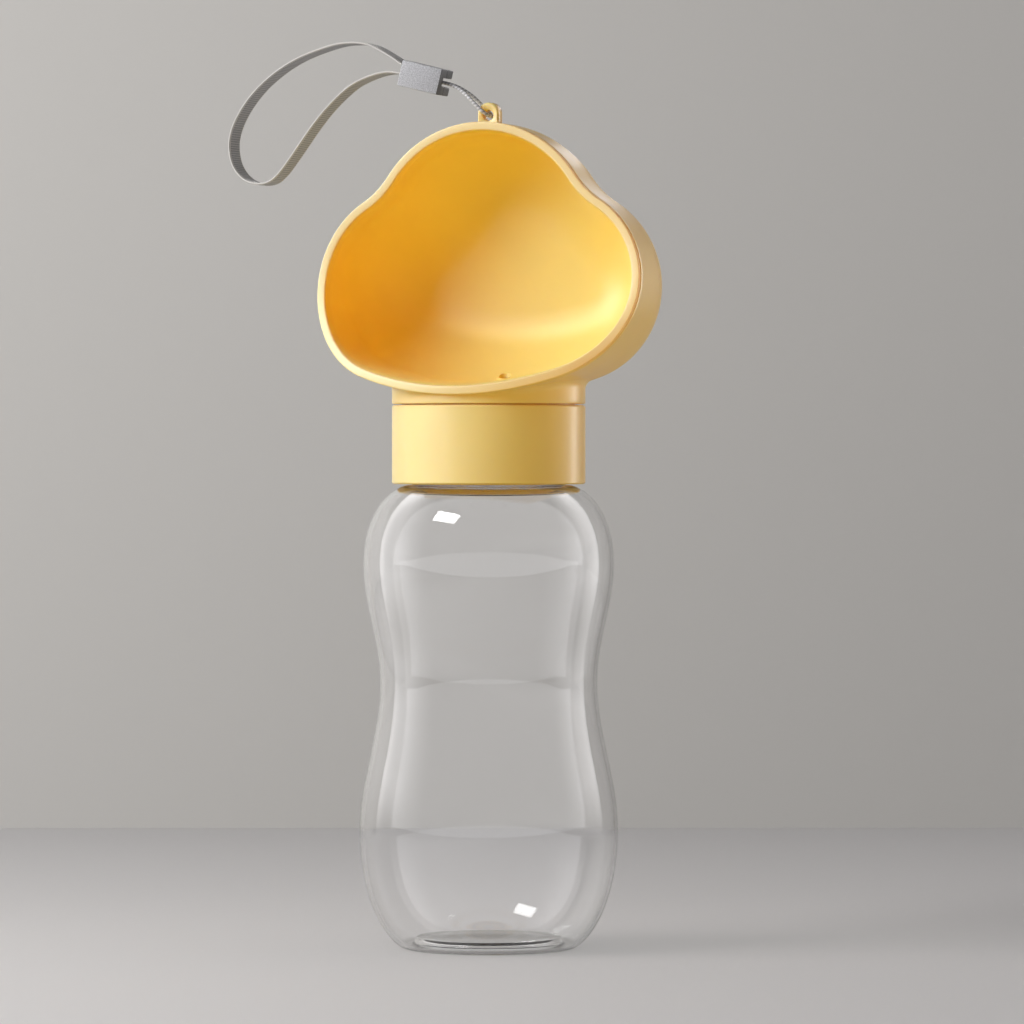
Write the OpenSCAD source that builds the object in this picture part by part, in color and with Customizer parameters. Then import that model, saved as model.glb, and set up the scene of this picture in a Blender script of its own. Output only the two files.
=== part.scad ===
// Travel water bottle for dogs: a clear bottle with a drinking bowl that twists on a screw collar.
// Millimetres, +Z up, origin on the bottle's axis where it stands, the bowl opens towards -Y.

/* [Bottle] */
// Radius of the lower belly, the widest part of the bottle
belly_r = 32.5; // [28:0.5:40]
// Height of the belly's widest point
belly_z = 29.5; // [24:0.5:40]
// Radius of the waist that the hand holds
waist_r = 27.3; // [24:0.1:32]
// Height of the waist above the belly
waist_rise = 37.5; // [30:0.5:50]
// Radius of the upper chest
chest_r = 31.5; // [28:0.5:38]
// Height of the chest above the waist
chest_rise = 30; // [24:0.5:40]
// Height of the rounded shoulder above the chest
shoulder_h = 19.5; // [14:0.5:26]
// How far the belly curves in towards the foot
base_round = 15; // [10:0.5:18]
// How far below the table the belly's curve would end
base_sink = 1; // [0.5:0.1:3]
// Radius of the pushed-up base
push_up_r = 18; // [12:0.1:18.4]
// Depth of the pushed-up base
push_up_h = 2; // [1:0.5:8]
// Width of the rounded edge between its flat middle and the foot
push_up_edge = 0.8; // [0.4:0.1:2]
// Wall of the blown bottle
bottle_wall = 1; // [0.8:0.1:1.4]

/* [Neck and thread] */
// Outer radius of the neck
neck_r = 19.3; // [18:0.1:20.5]
// Wall of the neck
neck_wall = 2; // [1.4:0.1:2.6]
// Length of the neck above the shoulder
neck_h = 11.5; // [10:0.5:16]
// Climb of the thread in one turn
thread_pitch = 4; // [3.4:0.1:5]
// Turns of each thread ridge
thread_turns = 1; // [0.75:0.25:1.25]
// Height of the thread ridges
thread_depth = 1.5; // [1:0.1:1.6]
// Width of a ridge at its root
thread_root_w = 2.2; // [1.6:0.1:2.4]
// Width of a ridge at its crest
thread_crest_w = 0.8; // [0.5:0.1:1]
// Gap from a ridge's crest to the other wall
thread_gap = 0.7; // [0.3:0.05:0.9]
// Distance from the neck's mouth to the top end of its ridge
thread_lead = 2; // [1.6:0.1:3]

/* [Collar] */
// Wall of the collar's skirt, round the thread's bore
collar_wall = 2.8; // [2:0.1:5]
// Height of the collar
collar_h = 19.8; // [17:0.1:19.9]
// Bevel of the collar's outer edges
collar_bevel = 0.4; // [0.2:0.1:0.8]
// Wall of the cup that the stem turns in
cup_wall = 2.2; // [1.4:0.1:2.6]
// Depth of that cup above the deck
cup_depth = 4.5; // [4:0.1:6]
// Thickness of the deck between bottle and valve
deck_t = 2.5; // [2.2:0.1:4]
// Thickness of the neck gasket
gasket_t = 1.5; // [1:0.1:2.5]
// Web of the deck between the port's seat and the pivot's seat
deck_web = 1; // [0.8:0.1:2]
// Width of the silicone ring round the port
port_seal_w = 1.6; // [1:0.1:1.8]
// Depth of the ring's seat in the deck
port_seal_seat = 1.2; // [0.8:0.1:1.4]
// Radius of the vent valve's body
vent_r = 2; // [1.4:0.1:2.4]
// Width of the vent valve's flange
vent_flange_w = 1.3; // [0.8:0.1:1.5]
// Length of the vent valve below the deck
vent_drop = 3; // [2:0.1:5]
// Radius of the stop pin
stop_r = 1; // [0.7:0.1:1.1]
// Depth of the stop groove
stop_depth = 1.2; // [0.8:0.1:1.4]
// Angle of the twist from shut to open
twist_angle = 90; // [60:1:90]

/* [Rotor] */
// Radius of the journal that turns in the deck
journal_r = 4; // [3.5:0.1:4.5]
// Running clearance of the journal
journal_gap = 0.05; // [0.02:0.01:0.1]
// Thickness of the pivot O-ring
pivot_ring_t = 1.5; // [1:0.1:1.6]
// Thickness of the stem O-ring
stem_ring_t = 1.9; // [1.4:0.1:2]
// Height of the O-ring above the rotor's underside
stem_ring_rise = 2.1; // [1.9:0.1:2.4]
// Number of rotor screws
screw_count = 4; // [4:1:4]
// Radius of a rotor screw's shank
screw_r = 1.2; // [1:0.05:1.3]
// Radius of a rotor screw's head
screw_head_r = 2.2; // [1.8:0.1:2.4]
// Height of a rotor screw's head
screw_head_h = 0.9; // [0.6:0.1:1]
// Radius of the bosses that take the screws
boss_r = 3; // [2.6:0.1:3.2]
// Thickness of the rotor under the bosses
rotor_floor = 2; // [1.8:0.1:2.4]
// Radius of the pivot screw's shank
pivot_r = 1.6; // [1.2:0.1:2]
// Radius of the pivot screw's head
pivot_head_r = 3.2; // [2.8:0.1:4]
// Height of the pivot screw's head
pivot_head_h = 1.65; // [1.2:0.05:2.2]
// Distance from the pivot washer's edge to the port
washer_gap = 1; // [0.6:0.1:2]
// Thickness of the pivot washer
washer_t = 0.8; // [0.5:0.1:1.2]
// Play between the washer and the deck
washer_play = 0.15; // [0.1:0.05:0.3]

/* [Bowl] */
// Height of the bowl from its lip to its crown
bowl_h = 68.5; // [64:0.5:76]
// Radius of the crown lobe
crown_lobe_r = 29.8; // [27:0.1:32]
// Radius of each side lobe
side_lobe_r = 24.8; // [23:0.1:26.5]
// Distance of the side lobes' centres from the middle
side_lobe_x = 18; // [15:0.5:22]
// Height of the side lobes' lowest points above the lip
side_lobe_rise = 3; // [2:0.1:5]
// Radius of the dip between crown and side lobe
dip_r = 22.3; // [16:0.1:30]
// How far the lip stands out in front of the stem
lip_overhang = 1.7; // [1.7:0.1:5]
// How far the crown's front edge stands in front of the axis
crown_reach = 6.3; // [4:0.1:9]
// How sharply the front edge sweeps out to the lip
lip_sweep = 4; // [3:0.1:5]
// How far the bowl's back stands out behind the stem
back_overhang = 1.7; // [1:0.1:5]
// Where the crown's side wall starts to round over, behind the axis
crown_flank = 3.2; // [1:0.1:6]
// Where the lip's side wall starts to round over, behind the axis
lip_flank = 8.6; // [6:0.1:11]
// Depth of the rounded edge of the bowl's back, measured inwards
back_round = 21.5; // [18:0.1:22]
// Wall of the outer shell
shell_wall = 1.2; // [1:0.1:1.4]
// Wall of the inner bowl
liner_wall = 1.2; // [1:0.1:1.6]
// Gap between shell and inner bowl
liner_gap = 0.2; // [0.15:0.05:0.4]
// Width of the bowl's front rim
rim_w = 2.1; // [1.8:0.1:2.3]
// Thickness of the front rim
rim_t = 0.9; // [0.7:0.1:1.2]
// Rounding of the rim's edges
rim_edge = 0.3; // [0.15:0.05:0.4]
// Width of the groove behind the rim
groove_w = 0.7; // [0.5:0.1:1]
// Depth of the groove behind the rim
groove_depth = 0.5; // [0.3:0.05:0.7]
// Where the inner bowl starts to round over, behind the axis
basin_flank = 1.5; // [0:0.1:4]

/* [Stem and outlet] */
// Seam between collar and stem
seam_gap = 0.3; // [0.3:0.05:0.6]
// Height of the stem below the lip
stem_h = 2.2; // [2:0.1:4]
// How far the stem runs up inside the bowl's back
stem_reach = 19; // [17:0.5:24]
// Wall of the stem's tube
stem_wall = 2.2; // [1.6:0.1:2.6]
// Radius of the outlet in the bowl's floor
outlet_r = 1.5; // [1:0.1:1.8]
// Wall of the outlet's spigot
spigot_wall = 0.9; // [0.7:0.1:1.1]
// Wall of the silicone outlet tube
tube_wall = 1.2; // [0.8:0.1:1.4]
// Height of the spigot's lower end above the rotor
spigot_gap = 0.6; // [0.4:0.1:1]

/* [Strap] */
// Radius of the lug's round top
lug_r = 2.8; // [2.4:0.1:3.4]
// Thickness of the lug
lug_t = 3.2; // [2.4:0.1:3.6]
// Height of the lug's hole above the crown
lug_hole_rise = 1.8; // [1.6:0.1:3]
// Radius of the lug's hole
lug_hole_r = 1.35; // [1.2:0.05:1.5]
// Distance of the lug's middle behind the axis
lug_y = 1; // [0:0.1:2]
// Thickness of the thin cord
cord_d = 0.9; // [0.6:0.1:1]
// Width of the webbing
webbing_w = 7.2; // [5:0.1:7.4]
// Thickness of the webbing
webbing_t = 0.6; // [0.4:0.1:0.8]
// Length of the clasp
clasp_l = 11; // [10:0.5:14]
// Height of the clasp
clasp_h = 6.6; // [6:0.1:8]
// Width of the clasp
clasp_w = 8.4; // [8.2:0.1:10]
// Wall over and under the webbing in the clasp
clasp_wall = 0.6; // [0.5:0.1:0.9]
// Depth of the clasp's pocket for the webbing
pocket_l = 5.6; // [4.5:0.1:6]
// Length of the clasp's room for the cord's knot
knot_l = 4; // [3:0.1:4.5]
// Height of the clasp's cord slot
slot_h = 2.2; // [1.8:0.1:2.6]

/* [Hidden] */

$fn = 96;
eps = 0.01;

// Heights, from the table up
waist_z = belly_z + waist_rise;
chest_z = waist_z + chest_rise;
shoulder_z = chest_z + shoulder_h;
mouth_z = shoulder_z + neck_h;
deck_z = mouth_z + gasket_t;
deck_top_z = deck_z + deck_t;
collar_top_z = deck_top_z + cup_depth;
collar_z = collar_top_z - collar_h;
stem_z = collar_top_z + seam_gap;
lip_z = stem_z + stem_h;
crown_z = lip_z + bowl_h;

// Fits shared by several pieces
seal_gap = 0.05;
turn_gap = 0.3;
rotor_lift = 0.4;
rotor_z = deck_top_z + rotor_lift;
rotor_top_z = lip_z - 0.2;
bore_r = neck_r + thread_depth + thread_gap;
collar_r = bore_r + collar_wall;
cup_r = collar_r - cup_wall;
rotor_r = cup_r - turn_gap;
lip_reach = collar_r + lip_overhang;
back_reach = collar_r + back_overhang;
screw_angles = [for (i = [0:screw_count - 1]) 45 + i * 360 / screw_count];
stop_angle = 200;

// The port's seat fills the deck from the pivot's seat to the neck's bore
neck_in = neck_r - neck_wall;
seat_gap = 0.1;
pivot_seat_r = journal_r + pivot_ring_t + 2 * seat_gap;
port_seat_r = (neck_in - pivot_seat_r - deck_web) / 2;
port_offset = neck_in - port_seat_r;
port_r = port_seat_r - port_seal_w - 2 * seat_gap;
stop_offset = neck_in + seat_gap + stop_r + 0.2;
screw_offset = port_offset + port_r;
washer_r = port_offset - port_r - washer_gap;
tube_r = outlet_r + spigot_wall + seal_gap + tube_wall;

// ---- helpers ----

function mix(a, b, t) = a + (b - a) * t;
function unit(v) = v / norm(v);
function heading(v) = atan2(v[1], v[0]);
// Half a cosine wave from a to b
function ease(a, b, t) = mix(a, b, (1 - cos(180 * t)) / 2);

// Joins equally long rings of points into one closed skin, with a middle point at each end
module skin(rings, first, last) {
    n = len(rings[0]);
    m = len(rings);
    points = concat([first], [for (ring = rings) each ring], [last]);
    top = [for (i = [0:n - 1]) [0, 1 + (i + 1) % n, 1 + i]];
    sides = [
        for (k = [0:m - 2], i = [0:n - 1])
            let (a = 1 + k * n + i, b = 1 + k * n + (i + 1) % n)
            each [[a, b, b + n], [a, b + n, a + n]]
    ];
    end = len(points) - 1;
    base = 1 + (m - 1) * n;
    bottom = [for (i = [0:n - 1]) [end, base + i, base + (i + 1) % n]];
    polyhedron(points, concat(top, sides, bottom));
}

// A smooth curve through the points, with the given steps between each pair
function curve_point(p, i, t) =
    let (
        a = p[max(i - 1, 0)],
        b = p[i],
        c = p[i + 1],
        d = p[min(i + 2, len(p) - 1)],
        u = (c - a) / 2,
        v = (d - b) / 2
    )
    b + u * t + (3 * (c - b) - 2 * u - v) * t * t + (2 * (b - c) + u + v) * t * t * t;
function curve(p, steps) = concat(
    [for (i = [0:len(p) - 2], k = [0:steps - 1]) curve_point(p, i, k / steps)],
    [p[len(p) - 1]]
);
function tangents(p) = [
    for (i = [0:len(p) - 1]) unit(p[min(i + 1, len(p) - 1)] - p[max(i - 1, 0)])
];
// Keeps a side vector square to the path as it turns
function square_to(v, t) = unit(v - t * (v * t));
function side_vectors(t, v, i = 0) =
    i == len(t) ? [] : let (w = square_to(v, t[i])) concat([w], side_vectors(t, w, i + 1));

// ---- bottle ----

base_b = belly_z + base_sink;
foot_turn = asin(belly_z / base_b);
foot_r = belly_r - base_round * (1 - cos(foot_turn));
// The foot ring keeps its width when a slimmer belly draws the foot in
flat_r = min(push_up_r, foot_r - 2.5);
wall_steps = 10;

function base_curve() = [
    for (i = [wall_steps:-1:1])
        let (t = foot_turn * i / wall_steps)
        [belly_r - base_round * (1 - cos(t)), belly_z - base_b * sin(t)]
];
// A flat disc over the foot with a steep rounded edge, from the axis outwards
function push_up(r, low, edge) = concat(
    [[0, low + push_up_h]],
    [for (t = [0:22.5:90]) [r - edge + edge * sin(t), low + push_up_h * cos(t)]]
);
function wave(r1, z1, r2, z2) = [
    for (i = [0:wall_steps - 1]) [ease(r1, r2, i / wall_steps), mix(z1, z2, i / wall_steps)]
];
function shoulder(last) = [
    for (i = [0:last])
        let (t = 90 * i / wall_steps)
        [chest_r - (chest_r - neck_r) * (1 - cos(t)), chest_z + shoulder_h * sin(t)]
];
function body_wall(last) = concat(
    base_curve(),
    wave(belly_r, belly_z, waist_r, waist_z),
    wave(waist_r, waist_z, chest_r, chest_z),
    shoulder(last)
);
function moved_in(p, w) = [
    for (i = [1:len(p) - 1])
        let (t = unit(p[min(i + 1, len(p) - 1)] - p[i - 1]))
        p[i] + w * [-t[1], t[0]]
];
function reversed(p) = [for (i = [len(p) - 1:-1:0]) p[i]];

// A screw ridge round the Z axis, from root_r to crest_r, that fades out at both ends
module ridge(root_r, crest_r, z, turns) {
    steps = ceil(36 * turns);
    fade = 4;
    rings = [
        for (i = [0:steps])
            let (
                grow = min(1, (i + 0.4) / fade, (steps - i + 0.4) / fade),
                r = mix(root_r, crest_r, grow),
                a = 360 * turns * i / steps,
                h = z + thread_pitch * turns * i / steps,
                d = [cos(a), sin(a)]
            )
            [
                [root_r * d[0], root_r * d[1], h - thread_root_w / 2],
                [r * d[0], r * d[1], h - thread_crest_w / 2],
                [r * d[0], r * d[1], h + thread_crest_w / 2],
                [root_r * d[0], root_r * d[1], h + thread_root_w / 2]
            ]
    ];
    ends = [rings[0], rings[steps]];
    mids = [for (e = ends) (e[0] + e[1] + e[2] + e[3]) / 4];
    if (crest_r > root_r) {
        skin(rings, mids[0], mids[1]);
    } else {
        skin([for (ring = rings) reversed(ring)], mids[0], mids[1]);
    }
}

ridge_bury = 0.4;
neck_ridge_z = mouth_z - thread_lead - thread_pitch * thread_turns;
// How far the collar's ridge runs below the neck's, so that their flanks nearly touch
ridge_drop = thread_crest_w + turn_gap
    + (thread_root_w - thread_crest_w) / 2 * (thread_depth - thread_gap) / (thread_depth + ridge_bury);

module bottle() {
    outer = concat(push_up(flat_r, 0, push_up_edge), body_wall(wall_steps));
    inner = concat(
        push_up(flat_r + bottle_wall, bottle_wall, push_up_edge + bottle_wall / 2),
        moved_in(concat([[flat_r, 0]], body_wall(wall_steps - 2)), bottle_wall)
    );
    color([0.86, 0.9, 0.92, 0.35]) union() {
        rotate_extrude() polygon(concat(
            outer,
            [[neck_r, mouth_z], [neck_in, mouth_z], [neck_in, shoulder_z - bottle_wall]],
            reversed(inner)
        ));
        ridge(neck_r - ridge_bury, neck_r + thread_depth, neck_ridge_z, thread_turns);
    }
}

module ring_solid(r_in, r_out, z1, z2) {
    rotate_extrude() translate([r_in, z1]) square([r_out - r_in, z2 - z1]);
}

module o_ring(r, t, z) {
    translate([0, 0, z]) rotate_extrude() translate([r, 0]) circle(d = t, $fn = 48);
}

module drill(x, y, r, z1, z2) {
    translate([x, y, z1]) cylinder(r = r, h = z2 - z1);
}

module neck_gasket() {
    color([0.93, 0.93, 0.9])
        ring_solid(neck_in + 0.3, neck_r + 0.6, mouth_z + seal_gap, deck_z - seal_gap);
}

// ---- collar and its deck ----

pivot_seat_d = pivot_ring_t + seat_gap;
vent_flange_t = 0.8;

module stop_groove(z1, z2) {
    r = stop_r + 0.2;
    translate([0, 0, z1]) {
        rotate([0, 0, stop_angle]) rotate_extrude(angle = twist_angle)
            translate([stop_offset - r, 0]) square([2 * r, z2 - z1]);
        for (a = [stop_angle, stop_angle + twist_angle]) {
            rotate([0, 0, a]) translate([stop_offset, 0, 0]) cylinder(r = r, h = z2 - z1);
        }
    }
}

module collar() {
    b = collar_bevel;
    color([0.96, 0.83, 0.46]) union() {
        difference() {
            rotate_extrude() polygon([
                [0, deck_z],
                [bore_r, deck_z],
                [bore_r, collar_z],
                [collar_r - b, collar_z],
                [collar_r, collar_z + b],
                [collar_r, collar_top_z - b],
                [collar_r - b, collar_top_z],
                [cup_r, collar_top_z],
                [cup_r, deck_top_z],
                [0, deck_top_z]
            ]);
            drill(0, 0, journal_r + journal_gap, deck_z - 1, deck_top_z + 1);
            drill(0, 0, pivot_seat_r, deck_top_z - pivot_seat_d, deck_top_z + 1);
            drill(-port_offset, 0, port_r, deck_z - 1, deck_top_z + 1);
            drill(-port_offset, 0, port_seat_r, deck_top_z - port_seal_seat, deck_top_z + 1);
            drill(port_offset, 0, vent_r + seal_gap, deck_z - 1, deck_top_z + 1);
            drill(port_offset, 0, vent_r + vent_flange_w + seat_gap,
                deck_top_z - vent_flange_t, deck_top_z + 1);
            stop_groove(deck_top_z - stop_depth, deck_top_z + 1);
        }
        ridge(bore_r + ridge_bury, bore_r - thread_depth, neck_ridge_z - ridge_drop, thread_turns);
    }
}

module port_seal() {
    color([0.93, 0.93, 0.9]) translate([-port_offset, 0, 0])
        ring_solid(port_r + seat_gap, port_seat_r - seat_gap, deck_top_z - port_seal_seat,
            rotor_z - seal_gap);
}

module vent_valve() {
    blind = 1;
    color([0.93, 0.93, 0.9]) translate([port_offset, 0, 0]) rotate_extrude() polygon([
        [0, deck_z - vent_drop],
        [0.6, deck_z - vent_drop],
        [vent_r, deck_z - vent_drop / 3],
        [vent_r, deck_top_z - vent_flange_t],
        [vent_r + vent_flange_w, deck_top_z - vent_flange_t],
        [vent_r + vent_flange_w, deck_top_z],
        [0.8, deck_top_z],
        [0.8, deck_z - blind],
        [0, deck_z - blind]
    ]);
}

module pivot_o_ring() {
    color([0.25, 0.25, 0.25])
        o_ring(journal_r + seat_gap + pivot_ring_t / 2, pivot_ring_t, deck_top_z - pivot_ring_t / 2);
}

// ---- rotor, which the bowl turns on the deck ----

journal_z = deck_z - washer_play;
port_step = 2.5;
boss_z = rotor_z + rotor_floor + 0.2;
pilot_gap = 0.05;
pivot_depth = 6;
ring_z = rotor_z + stem_ring_rise;

module rotor() {
    ring_in = cup_r - seal_gap - stem_ring_t - 0.1;
    color([0.96, 0.83, 0.46]) difference() {
        union() {
            rotate_extrude() polygon([
                [0, rotor_z],
                [rotor_r, rotor_z],
                [rotor_r, ring_z - stem_ring_t / 2 - 0.1],
                [ring_in, ring_z - stem_ring_t / 2 - 0.1],
                [ring_in, ring_z + stem_ring_t / 2 + 0.1],
                [rotor_r, ring_z + stem_ring_t / 2 + 0.1],
                [rotor_r, rotor_top_z],
                [0, rotor_top_z]
            ]);
            drill(0, 0, journal_r, journal_z, rotor_z + 1);
            rotate([0, 0, stop_angle]) translate([stop_offset, 0, rotor_z - stop_depth + 0.1])
                cylinder(r = stop_r, h = stop_depth + 0.9);
        }
        drill(0, 0, pivot_r + pilot_gap, journal_z - 1, journal_z + pivot_depth);
        drill(0, port_offset, port_r, rotor_z - 1, rotor_z + port_step);
        drill(0, port_offset, outlet_r, rotor_z + 1, rotor_top_z + 1);
        drill(0, -port_offset, outlet_r / 2, rotor_z - 1, rotor_top_z + 1);
        for (a = screw_angles) {
            rotate([0, 0, a]) {
                drill(screw_offset, 0, screw_r + 0.1, rotor_z - 1, rotor_top_z + 1);
                drill(screw_offset, 0, screw_head_r + 0.1, rotor_z - 1,
                    rotor_z + screw_head_h + 0.1);
                drill(screw_offset, 0, boss_r + 0.2, rotor_z + rotor_floor, rotor_top_z + 1);
            }
        }
    }
}

module pivot_washer() {
    color([0.75, 0.76, 0.78])
        ring_solid(pivot_r + 0.1, washer_r, journal_z - washer_t, journal_z);
}

module pivot_screw() {
    head_z = journal_z - washer_t - pivot_head_h;
    color([0.75, 0.76, 0.78]) difference() {
        union() {
            drill(0, 0, pivot_head_r, head_z, head_z + pivot_head_h);
            drill(0, 0, pivot_r, head_z + 0.5, journal_z + pivot_depth - 0.5);
        }
        for (a = [0, 90]) {
            rotate([0, 0, a]) translate([-pivot_head_r * 0.6, -0.4, head_z - 1])
                cube([pivot_head_r * 1.2, 0.8, 2]);
        }
    }
}

module stem_o_ring() {
    color([0.25, 0.25, 0.25])
        o_ring(cup_r - seal_gap - stem_ring_t / 2, stem_ring_t, ring_z);
}

module rotor_screws() {
    shank_top = lip_z - 0.7;
    head_z = rotor_z + 0.1;
    color([0.75, 0.76, 0.78]) for (a = screw_angles) {
        rotate([0, 0, a]) difference() {
            union() {
                drill(screw_offset, 0, screw_head_r, head_z, head_z + screw_head_h);
                drill(screw_offset, 0, screw_r, head_z + 0.4, shank_top);
            }
            for (b = [0, 90]) {
                translate([screw_offset, 0, 0]) rotate([0, 0, b])
                    translate([-screw_head_r * 0.6, -0.3, head_z - 1])
                    cube([screw_head_r * 1.2, 0.6, 1.4]);
            }
        }
    }
}

module outlet_tube() {
    color([0.93, 0.93, 0.9]) translate([0, port_offset, 0])
        ring_solid(outlet_r + spigot_wall + seal_gap, tube_r, rotor_top_z + seal_gap,
            lip_z + shell_wall + liner_gap + 0.6);
}

// ---- bowl ----

// The bowl's outline, seen from the front, is four tangent arcs on each side.
side_z = side_lobe_r + side_lobe_rise;
lip_arc_r = (pow(side_lobe_x, 2) + side_lobe_rise * (side_z + side_lobe_r)) / (2 * side_lobe_rise);
crown_c = [0, bowl_h - crown_lobe_r];
side_c = [side_lobe_x, side_z];
lip_c = [0, lip_arc_r];
lobe_step = norm(side_c - crown_c);
lobe_dir = unit(side_c - crown_c);
dip_along = (pow(crown_lobe_r + dip_r, 2) - pow(side_lobe_r + dip_r, 2) + pow(lobe_step, 2))
    / (2 * lobe_step);
dip_across = sqrt(pow(crown_lobe_r + dip_r, 2) - pow(dip_along, 2));
dip_c = crown_c + dip_along * lobe_dir + dip_across * [-lobe_dir[1], lobe_dir[0]];

lip_steps = 7;
side_steps = 14;
dip_steps = 4;
crown_steps = 8;
dome_steps = 7;

function arc_points(c, r, a1, a2, steps) = [
    for (i = [0:steps - 1])
        let (a = mix(a1, a2, i / steps))
        c + r * [cos(a), sin(a)]
];
// The outline drawn in by d, from the lip up the right side, over the crown and down the left
function half_outline(d) = concat(
    arc_points(lip_c, lip_arc_r - d, -90, heading(side_c - lip_c), lip_steps),
    arc_points(side_c, side_lobe_r - d, heading(side_c - lip_c), heading(dip_c - side_c), side_steps),
    arc_points(dip_c, dip_r + d, heading(side_c - dip_c), heading(crown_c - dip_c), dip_steps),
    arc_points(crown_c, crown_lobe_r - d, heading(dip_c - crown_c), 90, crown_steps)
);
function outline(d) =
    let (half = half_outline(d))
    concat(
        half,
        [[0, bowl_h - d]],
        [for (i = [len(half) - 1:-1:1]) [-half[i][0], half[i][1]]]
    );
edge = outline(0);

// How far up the bowl each outline point lies, from 0 at the lip to 1 at the crown
function rise(i) = edge[i][1] / bowl_h;
function front_y(i) = -crown_reach - (lip_reach - crown_reach) * pow(1 - rise(i), lip_sweep);
function flank_y(i) = mix(lip_flank, crown_flank, rise(i));

// A ring of the bowl's skin at inset d, dy behind the front edge
function front_ring(d, dy) =
    let (p = outline(d))
    [for (i = [0:len(p) - 1]) [p[i][0], front_y(i) + dy, lip_z + p[i][1]]];
// A ring of the rounded back, at turn t from 0 at the flank to 90 at the back
function back_ring(d, grow, back, t, start) =
    let (p = outline(d + grow * (1 - cos(t))))
    [
        for (i = [0:len(p) - 1])
            let (y = is_undef(start) ? flank_y(i) : start)
            [p[i][0], mix(y, back, sin(t)), lip_z + p[i][1]]
    ];
function back_rings(d, grow, back, start = undef) = [
    for (k = [0:dome_steps]) back_ring(d, grow, back, 90 * k / dome_steps, start)
];
function middle(y) = [0, y, lip_z + side_z];

module shell_skin() {
    edge_dy = rim_t + groove_w;
    inner_back = back_reach - shell_wall;
    skin(
        concat(
            reversed(back_rings(shell_wall, back_round - shell_wall, inner_back)),
            [front_ring(shell_wall, edge_dy), front_ring(0, edge_dy)],
            back_rings(0, back_round, back_reach)
        ),
        middle(inner_back),
        middle(back_reach)
    );
}

// The space within a rounded skin, run on to the front, to trim what joins the skin outside
module core(d, grow, back, start = undef) {
    front = -2 * collar_r;
    skin(
        concat(
            [[for (p = outline(d)) [p[0], front, lip_z + p[1]]]],
            back_rings(d, grow, back, start)
        ),
        middle(front),
        middle(back)
    );
}

module lug(y, r, t) {
    hole_z = crown_z + lug_hole_rise;
    top = hole_z + 0.5;
    translate([0, y + t / 2, 0]) rotate([90, 0, 0]) linear_extrude(t) {
        translate([0, top]) circle(r = r);
        translate([-r, crown_z - 0.6]) square([2 * r, top - crown_z + 0.6]);
    }
}

module bowl_shell() {
    mid = shell_wall / 2;
    color([0.96, 0.83, 0.46]) difference() {
        union() {
            shell_skin();
            difference() {
                union() {
                    ring_solid(collar_r - stem_wall, collar_r, stem_z, stem_z + stem_reach);
                    for (a = screw_angles) {
                        rotate([0, 0, a]) drill(screw_offset, 0, boss_r, boss_z, lip_z + 5);
                    }
                }
                core(mid, back_round - mid, back_reach - mid);
            }
            lug(lug_y, lug_r, lug_t);
        }
        for (a = screw_angles) {
            rotate([0, 0, a]) drill(screw_offset, 0, screw_r + pilot_gap, boss_z - 1, lip_z - 0.4);
        }
        drill(0, port_offset, tube_r + 0.2, stem_z, lip_z + shell_wall + 3);
        translate([0, lug_y, crown_z + lug_hole_rise]) rotate([90, 0, 0])
            cylinder(r = lug_hole_r, h = 2 * lug_t, center = true);
    }
}

module bowl_liner() {
    seat = rim_t + groove_w - liner_gap;
    nest = shell_wall + liner_gap;
    inside = nest + liner_wall;
    back = back_reach - shell_wall - 0.5;
    grow = back_round - inside;
    color([0.97, 0.84, 0.48]) difference() {
        union() {
            skin(
                concat(
                    reversed(back_rings(inside, grow, back - liner_wall, basin_flank)),
                    [
                        front_ring(inside, rim_t + 0.8),
                        front_ring(rim_w, rim_edge),
                        front_ring(rim_w - rim_edge, 0),
                        front_ring(rim_edge, 0),
                        front_ring(0, rim_edge),
                        front_ring(0, rim_t),
                        front_ring(groove_depth, rim_t),
                        front_ring(groove_depth, seat),
                        front_ring(nest, seat)
                    ],
                    back_rings(nest, grow, back, basin_flank)
                ),
                middle(back - liner_wall),
                middle(back)
            );
            difference() {
                drill(0, port_offset, outlet_r + spigot_wall, rotor_top_z + spigot_gap, lip_z + 8);
                core(nest + liner_wall / 2, grow, back - liner_wall / 2, basin_flank);
            }
        }
        drill(0, port_offset, outlet_r, stem_z, lip_z + 10);
    }
}

// ---- strap ----

hole_c = [0, lug_y, crown_z + lug_hole_rise];
clasp_c = hole_c + [-17.4, 0, 9.8];
clasp_tilt = 14;
clasp_gap = 0.05;
cord_spread = 2.6;
cord_lean = 41;

// Middle line of the doubled cord, from the clasp to the lug, from the hole's centre
cord_route = [[-14.6, 9.1], [-12.6, 8.6], [-10.4, 8], [-7.8, 6.8], [-5.2, 4.9], [-3.2, 2.9]];
// How far each of those points stands to the side
cord_side = [0.5, 0.5, 0.7, 1.4, 2.1, 2.5];

// Middle line of the webbing loop, from the hole's centre, out over the top and back
webbing_route = [
    [-18.3, 12], [-22.2, 13.1], [-25.6, 15.3], [-31.3, 18.3], [-37, 19], [-42.8, 18.1],
    [-51.2, 15.2], [-58.4, 10.9], [-64, 5.7], [-68, -0.3], [-69.6, -5.8], [-68.8, -11],
    [-66.2, -14.6], [-62.7, -16.2], [-59.2, -16], [-56.5, -14.2], [-53.7, -10.9],
    [-50.7, -6.9], [-46.7, -1.6], [-42.2, 3.4], [-36.7, 8], [-31.4, 10.4], [-26.6, 11.4],
    [-22.6, 10.9], [-18.8, 9.9]
];

// The U-turn through the hole is half a circle, leaning the way that the cord comes
turn_c = hole_c + (cord_spread - 0.3) * [-cos(cord_lean), 0, sin(cord_lean)];
function turn_point(a) =
    turn_c + cord_spread * (sin(a) * [0, 1, 0] + cos(a) * [cos(cord_lean), 0, -sin(cord_lean)]);
function strand(side) = [
    for (i = [0:len(cord_route) - 1])
        hole_c + [cord_route[i][0], side * cord_side[i], cord_route[i][1]]
];

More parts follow.
